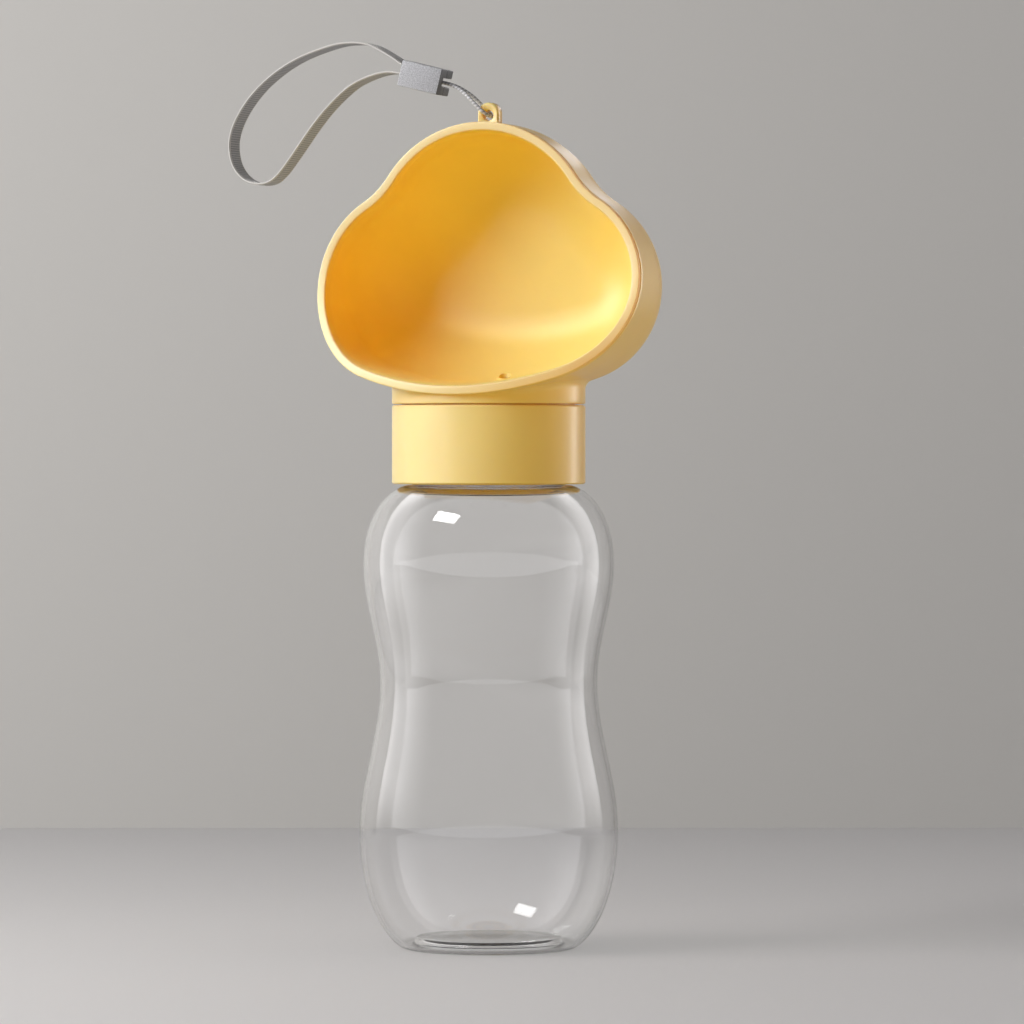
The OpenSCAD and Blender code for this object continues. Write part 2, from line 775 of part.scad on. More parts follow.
module strap_cord() {
    path = concat(
        curve(strand(-1), 3),
        [for (a = [-90:18:90]) turn_point(a)],
        reversed(curve(strand(1), 3))
    );
    t = tangents(path);
    s = side_vectors(t, [0, 1, 0.1]);
    n = len(path);
    rings = [
        for (i = [0:n - 1])
            let (u = cross(t[i], s[i]))
            [for (a = [0:45:315]) path[i] + cord_d / 2 * (cos(a) * s[i] + sin(a) * u)]
    ];
    color([0.72, 0.72, 0.74]) skin(reversed(rings), path[n - 1], path[0]);
}

module webbing_loop() {
    path = curve([for (p = webbing_route) hole_c + [p[0], 0, p[1]]], 3);
    t = tangents(path);
    n = len(path);
    w = [0, webbing_w / 2, 0];
    rings = [
        for (i = [0:n - 1])
            let (h = webbing_t / 2 * cross([0, 1, 0], t[i]))
            [path[i] - w - h, path[i] + w - h, path[i] + w + h, path[i] - w + h]
    ];
    color([0.55, 0.55, 0.56]) skin(rings, path[0], path[n - 1]);
}

module in_clasp() {
    translate(clasp_c) rotate([0, clasp_tilt, 0]) children();
}

// The clasp before it is split: pocket for the webbing, wall, knot room and cord slot
module clasp_body() {
    pocket_top = clasp_h / 2 - clasp_wall;
    pocket_bottom = -clasp_wall;
    pocket_w = webbing_w + 0.2;
    difference() {
        cube([clasp_l, clasp_w, clasp_h], center = true);
        translate([-clasp_l / 2 - 1, -pocket_w / 2, pocket_bottom])
            cube([pocket_l + 1, pocket_w, pocket_top - pocket_bottom]);
        translate([clasp_l / 2 - knot_l, -0.8 - cord_d, -slot_h / 2])
            cube([knot_l + 1, clasp_w, slot_h]);
    }
}

module clasp_front() {
    color([0.78, 0.78, 0.8]) in_clasp() intersection() {
        clasp_body();
        translate([-clasp_l, -clasp_w, -clasp_h])
            cube([2 * clasp_l, clasp_w - clasp_gap / 2, 2 * clasp_h]);
    }
}

module clasp_back() {
    color([0.74, 0.74, 0.76]) in_clasp() intersection() {
        clasp_body();
        translate([-clasp_l, clasp_gap / 2, -clasp_h]) cube([2 * clasp_l, clasp_w, 2 * clasp_h]);
    }
}

bottle();
neck_gasket();
collar();
port_seal();
vent_valve();
pivot_o_ring();
pivot_washer();
pivot_screw();
rotor();
stem_o_ring();
rotor_screws();
outlet_tube();
bowl_shell();
bowl_liner();
strap_cord();
clasp_front();
clasp_back();
webbing_loop();
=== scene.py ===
import math

import bmesh
import bpy
from mathutils import Matrix, Vector
from mathutils.kdtree import KDTree


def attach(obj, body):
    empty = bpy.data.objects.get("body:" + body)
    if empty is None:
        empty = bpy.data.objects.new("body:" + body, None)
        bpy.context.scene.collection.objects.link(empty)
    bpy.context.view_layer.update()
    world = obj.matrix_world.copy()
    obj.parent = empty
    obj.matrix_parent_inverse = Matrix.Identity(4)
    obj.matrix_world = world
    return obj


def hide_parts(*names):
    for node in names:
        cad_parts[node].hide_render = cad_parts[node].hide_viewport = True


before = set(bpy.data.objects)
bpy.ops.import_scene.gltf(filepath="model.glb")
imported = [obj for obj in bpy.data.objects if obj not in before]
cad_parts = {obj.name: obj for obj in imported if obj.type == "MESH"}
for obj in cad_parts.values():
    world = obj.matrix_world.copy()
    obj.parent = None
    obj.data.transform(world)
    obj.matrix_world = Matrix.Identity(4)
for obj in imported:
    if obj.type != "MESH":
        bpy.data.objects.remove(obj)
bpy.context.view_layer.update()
scene = bpy.context.scene
scene.view_settings.view_transform = "Standard"
MM = 0.001

# ---------------------------------------------------------------- camera

TURN = math.radians(20)
TO_CAMERA = Vector((math.sin(TURN), -math.cos(TURN), 0))
TO_RIGHT = Vector((math.cos(TURN), math.sin(TURN), 0))
DISTANCE = 1.5
EYE_HEIGHT = 0.1265
FIELD_WIDTH = 0.2573

lens = bpy.data.cameras.new("camera")
lens.sensor_width = 36
lens.lens = lens.sensor_width * DISTANCE / FIELD_WIDTH
lens.shift_x, lens.shift_y = 0.02275, -0.0654
lens.clip_end = 30
camera = bpy.data.objects.new("camera", lens)
camera.location = TO_CAMERA * DISTANCE + Vector((0, 0, EYE_HEIGHT))
camera.rotation_euler = (math.pi / 2, 0, TURN)
scene.collection.objects.link(camera)
scene.camera = camera

# ---------------------------------------------------------------- helpers


def mix(a, b, t):
    return a + (b - a) * t


def add_object(name, verts, faces, smooth=True, uvs=None):
    """verts in millimetres"""
    mesh = bpy.data.meshes.new(name)
    mesh.from_pydata([tuple(c * MM for c in v) for v in verts], [], faces)
    if uvs:
        layer = mesh.uv_layers.new(name="UVMap")
        for loop in mesh.loops:
            layer.data[loop.index].uv = uvs[loop.vertex_index]
    mesh.polygons.foreach_set("use_smooth", [smooth] * len(mesh.polygons))
    mesh.update()
    obj = bpy.data.objects.new(name, mesh)
    scene.collection.objects.link(obj)
    return obj


def outward(obj):
    """Faces turned outwards"""
    bm = bmesh.new()
    bm.from_mesh(obj.data)
    bmesh.ops.recalc_face_normals(bm, faces=bm.faces)
    bm.to_mesh(obj.data)
    bm.free()
    return obj


def grid_faces(rows, cols, closed=True):
    """Faces between rows of points; closed: each row runs round"""
    out = []
    for r in range(rows - 1):
        for c in range(cols if closed else cols - 1):
            d = (c + 1) % cols
            out.append((r * cols + c, r * cols + d, (r + 1) * cols + d, (r + 1) * cols + c))
    return out


def lathe(profile, steps, x=0.0, y=0.0):
    """Rings round the Z axis from (radius, height) points; a radius of 0 is a middle point"""
    verts, faces, rings = [], [], []
    for r, z in profile:
        if r < 1e-6:
            rings.append([len(verts)])
            verts.append((x, y, z))
        else:
            rings.append(list(range(len(verts), len(verts) + steps)))
            for k in range(steps):
                a = 2 * math.pi * k / steps
                verts.append((x + r * math.cos(a), y + r * math.sin(a), z))
    for a, b in zip(rings, rings[1:]):
        for k in range(steps):
            j = (k + 1) % steps
            if len(a) == 1 and len(b) > 1:
                faces.append((a[0], b[j], b[k]))
            elif len(b) == 1 and len(a) > 1:
                faces.append((a[k], a[j], b[0]))
            elif len(a) > 1:
                faces.append((a[k], a[j], b[j], b[k]))
    return verts, faces


def tube_faces(rows, cols):
    """Faces round rows of points, with one face at each end"""
    ends = [tuple(range(cols))[::-1], tuple((rows - 1) * cols + k for k in range(cols))]
    return grid_faces(rows, cols) + ends


def cut(obj, tools):
    """Joins each tool to obj or takes it away, then drops it"""
    bpy.context.view_layer.objects.active = obj
    for tool, kind in tools:
        mod = obj.modifiers.new("tool", "BOOLEAN")
        mod.operation, mod.solver, mod.object = kind, "EXACT", tool
        bpy.ops.object.modifier_apply(modifier="tool")
        bpy.data.objects.remove(tool)


def smooth_by_angle(obj, degrees):
    """Smooth faces, with sharp edges where the surface turns by more than this"""
    mesh = obj.data
    bm = bmesh.new()
    bm.from_mesh(mesh)
    limit = math.radians(degrees)
    for edge in bm.edges:
        if len(edge.link_faces) == 2 and edge.calc_face_angle(0) > limit:
            edge.smooth = False
    for face in bm.faces:
        face.smooth = True
    bm.to_mesh(mesh)
    bm.free()
    return obj


def curve_points(points, steps):
    """The same smooth curve as in the part's source"""
    out = []
    n = len(points)
    for i in range(n - 1):
        a, b, c, d = (points[max(i - 1, 0)], points[i], points[i + 1], points[min(i + 2, n - 1)])
        u, v = (c - a) / 2, (d - b) / 2
        square, cube = 3 * (c - b) - 2 * u - v, 2 * (b - c) + u + v
        for k in range(steps):
            t = k / steps
            out.append(b + u * t + square * t * t + cube * t ** 3)
    out.append(points[-1])
    return out


# ---------------------------------------------------------------- materials


class Tree:
    """A small helper to write node trees; what it gives back are output sockets"""

    def __init__(self, tree):
        self.tree = tree

    def add(self, kind, **values):
        node = self.tree.nodes.new(kind)
        for key, value in values.items():
            setattr(node, key, value)
        return node

    def link(self, a, b):
        self.tree.links.new(a, b)

    def put(self, value, socket):
        """Sets a number or a colour, and links a socket"""
        if isinstance(value, bpy.types.NodeSocket):
            self.link(value, socket)
        else:
            socket.default_value = value

    def calc(self, operation, *values):
        """Numbers and sockets put together by a Math node"""
        node = self.add("ShaderNodeMath", operation=operation)
        for value, socket in zip(values, node.inputs):
            self.put(value, socket)
        return node.outputs[0]

    def along(self, source, axis):
        """How far a place lies along an axis"""
        node = self.add("ShaderNodeVectorMath", operation="DOT_PRODUCT")
        self.link(source, node.inputs[0])
        node.inputs[1].default_value = axis
        return node.outputs["Value"]

    def scaled(self, vector, factor):
        node = self.add("ShaderNodeVectorMath", operation="SCALE")
        self.put(vector, node.inputs[0])
        self.link(factor, node.inputs["Scale"])
        return node.outputs["Vector"]

    def span(self, source, low=0.0, high=1.0, start=0.0, end=1.0, kind="LINEAR"):
        """What runs from start to end, as a value that runs from low to high"""
        node = self.add("ShaderNodeMapRange", interpolation_type=kind)
        self.link(source, node.inputs["Value"])
        names = "From Min", "From Max", "To Min", "To Max"
        for name, value in zip(names, (start, end, low, high)):
            self.put(value, node.inputs[name])
        return node.outputs["Result"]

    def rays(self):
        return self.add("ShaderNodeLightPath").outputs


class Nodes(Tree):
    """The same for a material"""

    def __init__(self, name):
        self.mat = bpy.data.materials.new(name)
        self.mat.use_nodes = True
        super().__init__(self.mat.node_tree)
        self.bsdf = self.tree.nodes["Principled BSDF"]
        self.out = self.tree.nodes["Material Output"]

    def set(self, **values):
        """Values and links for the shader's own sockets"""
        for key, value in values.items():
            self.put(value, self.bsdf.inputs[key.replace("_", " ")])

    def place(self):
        return self.add("ShaderNodeTexCoord").outputs["Object"]

    def split(self, vector):
        node = self.add("ShaderNodeSeparateXYZ")
        self.link(vector, node.inputs["Vector"])
        return node.outputs

    def uv(self):
        return self.split(self.add("ShaderNodeUVMap", uv_map="UVMap").outputs["UV"])

    def noise(self, scale, detail=2.0, rough=0.5):
        noise = self.add("ShaderNodeTexNoise")
        for name, value in (("Scale", scale), ("Detail", detail), ("Roughness", rough)):
            noise.inputs[name].default_value = value
        self.link(self.place(), noise.inputs["Vector"])
        return noise.outputs["Fac"]

    def ramp(self, source, stops):
        ramp = self.add("ShaderNodeValToRGB")
        ends = ramp.color_ramp.elements
        ends[0].position, ends[0].color = stops[0]
        ends[1].position, ends[1].color = stops[-1]
        for place, colour in stops[1:-1]:
            ends.new(place).color = colour
        self.link(source, ramp.inputs["Fac"])
        return ramp.outputs["Color"]

    def bump(self, source, strength, distance):
        bump = self.add("ShaderNodeBump")
        bump.inputs["Strength"].default_value = strength
        bump.inputs["Distance"].default_value = distance
        self.link(source, bump.inputs["Height"])
        self.set(Normal=bump.outputs["Normal"])

    def show(self, shader):
        self.link(shader, self.out.inputs["Surface"])

    def blend(self, factor, first, second):
        """Shows the first shader where the factor is 0, and the second where it is 1"""
        node = self.add("ShaderNodeMixShader")
        for value, socket in zip((factor, first, second), node.inputs):
            self.link(value, socket)
        self.show(node.outputs["Shader"])

    def clear(self, colour=(1, 1, 1, 1)):
        node = self.add("ShaderNodeBsdfTransparent")
        node.inputs["Color"].default_value = colour
        return node.outputs["BSDF"]

    def glow(self, level, colour=(1, 1, 1, 1)):
        """Emission that lights nothing, and only shows"""
        node = self.add("ShaderNodeEmission")
        self.put(level, node.inputs["Strength"])
        node.inputs["Color"].default_value = colour
        self.mat.cycles.emission_sampling = "NONE"
        return node.outputs["Emission"]


def linear(*rgb):
    """An sRGB colour of 0 to 255 as scene values"""
    def one(c):
        c /= 255
        return c / 12.92 if c <= 0.04045 else ((c + 0.055) / 1.055) ** 2.4
    return tuple(one(c) for c in rgb) + (1.0,)


def mottled(name, scale, detail, dark, light):
    """A material whose colour wanders a little, and the noise that it follows"""
    m = Nodes(name)
    mottle = m.noise(scale, detail)
    m.set(Base_Color=m.ramp(mottle, [(0.3, dark + (1,)), (0.7, light + (1,))]))
    return m, mottle


def plastic(name, colour, rough, subsurface, glow):
    """Moulded plastic: a slight mottle in colour and gloss, and a fine spark-eroded grain"""
    spread = 0.035
    dark, light = (tuple(c * k for c in colour) for k in (1 - spread, 1 + spread))
    m, _ = mottled(name, 38, 3, dark, light)
    m.set(Roughness=m.span(m.noise(150, 2), rough - 0.05, rough + 0.06))
    m.bump(m.noise(5200, 2, 0.6), 0.10, 0.00004)
    m.set(IOR=1.6, Specular_IOR_Level=0.14)
    m.set(Subsurface_Weight=subsurface, Subsurface_Scale=0.0025,
          Subsurface_Radius=(1.0, 0.45, 0.12))
    # the glow stands for the warm light that thin amber walls let through
    m.set(Emission_Color=(1.0, 0.25, 0.0, 1), Emission_Strength=glow)
    return m.mat


def clear_plastic():
    """Clear blown plastic, slightly wavy; shadow and diffuse rays pass it as they come"""
    m = Nodes("clear_plastic")
    m.set(Transmission_Weight=1.0, IOR=1.47)
    m.set(Roughness=m.span(m.noise(30, 2), 0.012, 0.035, 0.3, 0.7))
    m.bump(m.noise(60, 1), 0.06, 0.0004)
    # painted shade: the colour darkens towards the foot, for the dark ring that the thick foot
    # shows
    foot = m.span(m.split(m.place())["Z"], end=0.0011)
    m.set(Base_Color=m.ramp(foot, [(0.25, (0.45, 0.44, 0.44, 1)), (1.0, (1, 1, 1, 1))]))
    rays = m.rays()
    passing = m.calc("MAXIMUM", rays["Is Shadow Ray"], rays["Is Diffuse Ray"])
    m.blend(passing, m.bsdf.outputs["BSDF"], m.clear((0.94, 0.945, 0.945, 1)))
    return m.mat


def silicone():
    m, _ = mottled("silicone", 420, 3, (0.66, 0.66, 0.63), (0.76, 0.76, 0.73))
    m.set(Roughness=0.55, Subsurface_Weight=0.2, Subsurface_Scale=0.001)
    m.bump(m.noise(2600, 2), 0.15, 0.00005)
    return m.mat


def dark_rubber():
    m, _ = mottled("dark_rubber", 600, 3, (0.012, 0.012, 0.013), (0.028, 0.028, 0.028))
    m.set(Roughness=0.5)
    m.bump(m.noise(3200, 2), 0.2, 0.00005)
    return m.mat


def steel():
    m, mottle = mottled("stainless", 900, 4, (0.52, 0.53, 0.54), (0.63, 0.64, 0.65))
    m.set(Roughness=m.span(mottle, 0.2, 0.36), Metallic=1.0)
    return m.mat


def webbing():
    """Woven ribbon: crosswise ribs, a plain edge on both sides, a little fuzz"""
    m = Nodes("webbing")
    uv = m.uv()
    rib_pitch = 0.62
    ribs = m.calc("SINE", m.calc("MULTIPLY", uv["X"], 2 * math.pi / rib_pitch))
    fuzz = m.calc("MULTIPLY", m.noise(2400, 3), 0.45)
    weave = m.calc("MULTIPLY_ADD", m.span(ribs, start=-1), 0.55, fuzz)
    paint = m.add("ShaderNodeMix", data_type="RGBA")
    m.link(m.calc("GREATER_THAN", uv["Y"], 0.80), paint.inputs["Factor"])
    m.link(m.ramp(weave, [(0.15, linear(142, 141, 141)), (0.85, linear(208, 206, 204))]),
           paint.inputs[6])
    paint.inputs[7].default_value = linear(222, 219, 215)
    m.set(Base_Color=paint.outputs[2], Roughness=0.85, Sheen_Weight=0.3, Sheen_Roughness=0.5)
    m.bump(weave, 0.5, 0.00012)
    return m.mat


def cord_stuff():
    """Thin braided cord: slanting pale stitches over grey"""
    m = Nodes("cord")
    uv = m.uv()
    stitch_pitch = 0.95
    lay = m.calc("MULTIPLY_ADD", uv["X"], 2 * math.pi / stitch_pitch,
                 m.calc("MULTIPLY", uv["Y"], 2 * math.pi))
    stitch = m.span(m.calc("SINE", lay), start=-1)
    m.set(Base_Color=m.ramp(stitch, [(0.2, linear(165, 164, 166)), (0.75, linear(214, 213, 216))]))
    m.set(Roughness=0.6, Sheen_Weight=0.2)
    m.bump(stitch, 0.35, 0.00006)
    return m.mat


def clasp_stuff(name, painted_dimming):
    """Grey plastic with a fine sparkle and a coarse moulded grain"""
    m = Nodes(name)
    speck = m.noise(3400, 2, 0.7)
    tones = (0.30, (146, 146, 150)), (0.5, (182, 182, 186)), (0.72, (212, 212, 216))
    # the dimming factor darkens the whole colour: painted shade for faces that lie in shade
    stops = [(spot, linear(*(c * painted_dimming for c in tone))) for spot, tone in tones]
    m.set(Base_Color=m.ramp(speck, stops))
    m.set(Roughness=0.5, IOR=1.5)
    m.bump(speck, 0.35, 0.00006)
    return m.mat


mat_amber = plastic("amber_plastic", (0.92, 0.60, 0.14), rough=0.31, subsurface=0.15, glow=0.03)
mat_bowl = plastic("bowl_plastic", (0.91, 0.66, 0.115), rough=0.36, subsurface=0.05, glow=0.05)
# painted light: a paler copy of the bowl's plastic for the rim's flat land
mat_rim_painted_light = plastic("rim_painted_light_plastic", (0.87, 0.61, 0.165), rough=0.40, subsurface=0.05, glow=0.04)
mat_clear, mat_silicone, mat_rubber, mat_steel = clear_plastic(), silicone(), dark_rubber(), steel()
mat_web, mat_cord = webbing(), cord_stuff()
# the second clasp material is the same plastic made darker: painted shade
mat_clasp, mat_clasp_painted_shade = clasp_stuff("clasp_plastic", 1.0), clasp_stuff("clasp_painted_shade_plastic", 0.52)

# ---------------------------------------------------------------- strap: cord and webbing first

HOLE = Vector((0, 1, 209.3))
CORD_D = 0.9
CORD_SHOWN = 0.98 * CORD_D
CORD_ROUTE = [(-14.6, 9.1), (-12.6, 8.6), (-10.4, 8), (-7.8, 6.8), (-5.2, 4.9), (-3.2, 2.9)]
CORD_SIDE = [0.5, 0.5, 0.7, 1.4, 2.1, 2.5]
CORD_SPREAD, CORD_PAST_HOLE = 2.6, 0.3
LEAN = math.radians(41)
WEB_W, WEB_T = 7.2, 0.6
WEB_ROUTE = [
    (-18.3, 12), (-22.2, 13.1), (-25.6, 15.3), (-31.3, 18.3), (-37, 19), (-42.8, 18.1),
    (-51.2, 15.2), (-58.4, 10.9), (-64, 5.7), (-68, -0.3), (-69.6, -5.8), (-68.8, -11),
    (-66.2, -14.6), (-62.7, -16.2), (-59.2, -16), (-56.5, -14.2), (-53.7, -10.9),
    (-50.7, -6.9), (-46.7, -1.6), (-42.2, 3.4), (-36.7, 8), (-31.4, 10.4), (-26.6, 11.4),
    (-22.6, 10.9), (-18.8, 9.9)]


def tangents(path):
    n = len(path)
    return [(path[min(i + 1, n - 1)] - path[max(i - 1, 0)]).normalized() for i in range(n)]


def strap_cord():
    """The doubled cord: one strand to the hole, round through it and back"""
    def strand(side):
        return [HOLE + Vector((x, side * s, z)) for (x, z), s in zip(CORD_ROUTE, CORD_SIDE)]
    lean = Vector((math.cos(LEAN), 0, -math.sin(LEAN)))
    centre = HOLE - (CORD_SPREAD - CORD_PAST_HOLE) * lean
    turn = []
    for a in range(-90, 91, 6):
        t = math.radians(a)
        turn.append(centre + CORD_SPREAD * (math.sin(t) * Vector((0, 1, 0)) + math.cos(t) * lean))
    path = curve_points(strand(-1), 8) + turn + curve_points(strand(1), 8)[::-1]
    t = tangents(path)
    s = Vector((0, 1, 0.1))
    verts, uvs, along, sides = [], [], 0.0, 12
    for i, p in enumerate(path):
        if i:
            along += (p - path[i - 1]).length
        s = (s - t[i] * s.dot(t[i])).normalized()
        u = t[i].cross(s)
        for k in range(sides):
            a = 2 * math.pi * k / sides
            verts.append(p + CORD_SHOWN / 2 * (math.cos(a) * s + math.sin(a) * u))
            uvs.append((along, k / sides))
    obj = outward(add_object("cord", verts, tube_faces(len(path), sides), uvs=uvs))
    obj.data.materials.append(mat_cord)
    return obj, path


def webbing_loop():
    path = curve_points([HOLE + Vector((x, 0, z)) for x, z in WEB_ROUTE], 8)
    t = tangents(path)
    w, h = WEB_W / 2, WEB_T / 2
    # a flat section that is thinner at its two edges
    section, parts, edge = [], 8, 0.45
    for side in (1, -1):
        for k in range(-parts * side, (parts + 1) * side, side):
            y = w * k / parts
            section.append((y, side * h * (1 if abs(k) < parts else edge), abs(y) / w))
    verts, uvs, along = [], [], 0.0
    for i, p in enumerate(path):
        if i:
            along += (p - path[i - 1]).length
        normal = Vector((0, 1, 0)).cross(t[i])
        for y, z, v in section:
            verts.append(p + Vector((0, y, 0)) + normal * z)
            uvs.append((along, v))
    obj = outward(add_object("webbing", verts, tube_faces(len(path), len(section)), uvs=uvs))
    smooth_by_angle(obj, 50)
    obj.data.materials.append(mat_web)
    return obj, path


CLASP = HOLE + Vector((-17.4, 0, 9.8))
CLASP_TILT = math.radians(14)
CLASP_L, CLASP_W, CLASP_H = 11.0, 8.4, 6.6
CLASP_EDGE = 0.32
POCKET_L, POCKET_W, POCKET_FLOOR, POCKET_ROOF = 5.6, 7.4, -0.6, 0.6
KNOT_L, SLOT_H, SLOT_FROM = 4.0, 2.2, -0.8
SPLIT_GAP = 0.05


def block(name, lo, hi):
    """A box between two corners"""
    verts = [(x, y, z) for x in (lo[0], hi[0]) for y in (lo[1], hi[1]) for z in (lo[2], hi[2])]
    faces = [(0, 1, 3, 2), (4, 6, 7, 5), (0, 4, 5, 1), (2, 3, 7, 6), (0, 2, 6, 4), (1, 5, 7, 3)]
    return add_object(name, verts, faces, smooth=False)


def clasp_half(name, low, high):
    """One half of the clasp between two planes, with its pocket, knot room and cord slot"""
    l, w, h = CLASP_L / 2, CLASP_W / 2, CLASP_H / 2
    body = block(name, (-l, low, -h), (l, high, h))
    pocket = block("pocket", (-l - 1, -POCKET_W / 2, POCKET_FLOOR),
                   (-l + POCKET_L, POCKET_W / 2, h - POCKET_ROOF))
    knot_room = block("knot_room", (l - KNOT_L, SLOT_FROM - CORD_D, -SLOT_H / 2),
                      (l + 1, w + 4, SLOT_H / 2))
    cut(body, [(pocket, "DIFFERENCE"), (knot_room, "DIFFERENCE")])
    mod = body.modifiers.new("edge", "BEVEL")
    mod.width, mod.segments, mod.use_clamp_overlap = CLASP_EDGE * MM, 3, True
    mod.limit_method, mod.angle_limit = "ANGLE", math.radians(40)
    bpy.ops.object.modifier_apply(modifier="edge")
    # painted shade: the end towards the cord and the knot's room get a darker copy of the plastic
    body.data.materials.append(mat_clasp)
    body.data.materials.append(mat_clasp_painted_shade)
    for face in body.data.polygons:
        x, _, z = face.center / MM
        if face.normal[0] > 0.6 and x > 1 or 1.2 < x < l - 0.4 and abs(z) < 1.2:
            face.material_index = 1
    body.data.transform(Matrix.Translation(CLASP * MM) @ Matrix.Rotation(CLASP_TILT, 4, "Y"))
    smooth_by_angle(body, 40)
    return body


cord, cord_path = strap_cord()
web, web_line = webbing_loop()
clasp_front = clasp_half("clasp_front_half", -CLASP_W / 2, -SPLIT_GAP / 2)
clasp_back = clasp_half("clasp_back_half", SPLIT_GAP / 2, CLASP_W / 2)
for piece, node, slot in [(cord, "strap_cord", "cord"), (web, "webbing_loop", "webbing"),
                          (clasp_front, "clasp_front", "clasp_plastic"),
                          (clasp_back, "clasp_back", "clasp_plastic")]:
    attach(piece, "strap")
    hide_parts(node)

# ---------------------------------------------------------------- bottle

BELLY_R, BELLY_Z = 32.5, 29.5
WAIST_R, WAIST_Z = 27.3, 67.0
CHEST_R, CHEST_Z = 31.5, 97.0
SHOULDER_H, NECK_R, NECK_WALL, MOUTH_Z = 19.5, 19.3, 2.0, 128.0
FOOT_ROUND, FOOT_B = 15.0, 30.5
PUSH_R, PUSH_H, PUSH_EDGE, WALL = 18.0, 2.0, 0.8, 1.0
PITCH, LEAD = 4.0, 2.0
RIDGE_DEPTH, RIDGE_HALF, RIDGE_FLANK = 1.5, 1.1, 0.7
RIDGE_FADE = 1 / 9


def bottle_profile():
    """Outside of the bottle from the foot to the shoulder's top"""
    steps = 24
    out = [(PUSH_R + 0.1, 0.06), (PUSH_R + 0.35, 0.0), (19.5, 0.0), (20.6, 0.0)]
    turn = math.asin(BELLY_Z / FOOT_B)
    for i in range(steps - 1, 0, -1):
        t = turn * i / steps
        out.append((BELLY_R - FOOT_ROUND * (1 - math.cos(t)), BELLY_Z - FOOT_B * math.sin(t)))
    for r1, z1, r2, z2 in [(BELLY_R, BELLY_Z, WAIST_R, WAIST_Z),
                           (WAIST_R, WAIST_Z, CHEST_R, CHEST_Z)]:
        for i in range(steps):
            ease = (1 - math.cos(math.pi * i / steps)) / 2
            out.append((mix(r1, r2, ease), mix(z1, z2, i / steps)))
    for i in range(steps + 1):
        t = math.pi / 2 * i / steps
        out.append((CHEST_R - (CHEST_R - NECK_R) * (1 - math.cos(t)),
                    CHEST_Z + SHOULDER_H * math.sin(t)))
    return out


def push_up(r, low, edge):
    """The base's flat middle and its rounded edge, from the axis outwards"""
    out = [((r - edge) * i / 8, low + PUSH_H) for i in range(8)]
    for i in range(10):
        t = math.pi / 2 * i / 10
        out.append((r - edge + edge * math.sin(t), low + PUSH_H * math.cos(t)))
    return out


def ridge_height(z, a):
    """How far the thread stands out of the neck at height z and turn a (0 to 1)"""
    fade = min(1.0, a / RIDGE_FADE, (1.0 - a) / RIDGE_FADE)
    off = abs(z - (MOUTH_Z - LEAD - PITCH + PITCH * a))
    return fade * max(0.0, min(1.0, (RIDGE_HALF - off) / RIDGE_FLANK)) * RIDGE_DEPTH


def make_bottle():
    outer = bottle_profile()
    inner = push_up(PUSH_R + WALL, WALL, PUSH_EDGE + WALL / 2)
    inner += [(PUSH_R + WALL + 0.1, WALL + 0.08), (PUSH_R + WALL + 0.4, WALL)]
    for i in range(3, len(outer) - 3):
        (r0, z0), (r1, z1) = outer[i - 1], outer[min(i + 1, len(outer) - 1)]
        d = math.hypot(r1 - r0, z1 - z0)
        inner.append((outer[i][0] - WALL * (z1 - z0) / d, outer[i][1] + WALL * (r1 - r0) / d))
    neck_in = NECK_R - NECK_WALL
    top = CHEST_Z + SHOULDER_H
    neck = [(NECK_R, top + 0.3 + k * 0.3) for k in range(37)]
    lip = [(NECK_R, MOUTH_Z - 0.3), (NECK_R - 0.1, MOUTH_Z - 0.08), (NECK_R - 0.35, MOUTH_Z),
           (neck_in + 0.35, MOUTH_Z), (neck_in + 0.1, MOUTH_Z - 0.08), (neck_in, MOUTH_Z - 0.3)]
    down = [(neck_in, mix(MOUTH_Z - 1, top + 2.6, k / 6)) for k in range(7)]
    last = inner[-1]
    bend = [(mix(neck_in, last[0], 1 - math.cos(math.pi / 2 * k / 5)),
             mix(top + 2.0, last[1], math.sin(math.pi / 2 * k / 5))) for k in range(5)]
    profile = push_up(PUSH_R, 0, PUSH_EDGE) + outer + neck + lip + down + bend + inner[::-1]
    verts, faces = lathe(profile, 192)
    for i, (x, y, z) in enumerate(verts):
        r = math.hypot(x, y)
        if abs(r - NECK_R) < 1e-6 and top < z < MOUTH_Z - 0.31:
            a = (math.atan2(y, x) / (2 * math.pi)) % 1.0
            k = (r + ridge_height(z, a)) / r
            verts[i] = (x * k, y * k, z)
    obj = outward(add_object("clear_bottle", verts, faces))
    obj.data.materials.append(mat_clear)
    return obj


bottle = make_bottle()
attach(bottle, "bottle")
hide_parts("bottle")

# ---------------------------------------------------------------- bowl

LIP_Z, BOWL_H = 139.0, 68.5
CROWN_R, SIDE_R, SIDE_X, SIDE_RISE, DIP_R = 29.8, 24.8, 18.0, 3.0, 22.3
LIP_REACH, CROWN_REACH, BACK = 26.0, 6.3, 26.0
CROWN_FLANK, LIP_FLANK, BACK_ROUND = 3.2, 8.6, 21.5
SHELL_WALL, LINER_WALL, LINER_GAP = 1.2, 1.2, 0.2
RIM_W, RIM_T, GROOVE_W, GROOVE_D = 2.1, 0.9, 0.7, 0.5
COLLAR_R, CUP_R, STEM_Z = 24.3, 22.1, 136.8
OUTLET_Y, OUTLET_R, SPIGOT_R = 12.0, 1.5, 2.4

side_z = SIDE_R + SIDE_RISE
LIP_ARC = (SIDE_X ** 2 + SIDE_RISE * (side_z + SIDE_R)) / (2 * SIDE_RISE)
crown_c = Vector((0, BOWL_H - CROWN_R))
side_c = Vector((SIDE_X, side_z))
lip_c = Vector((0, LIP_ARC))
step = (side_c - crown_c).length
toward = (side_c - crown_c) / step
along = ((CROWN_R + DIP_R) ** 2 - (SIDE_R + DIP_R) ** 2 + step ** 2) / (2 * step)
across = math.sqrt((CROWN_R + DIP_R) ** 2 - along ** 2)
dip_c = crown_c + along * toward + across * Vector((-toward[1], toward[0]))


def heading(v):
    return math.atan2(v[1], v[0])


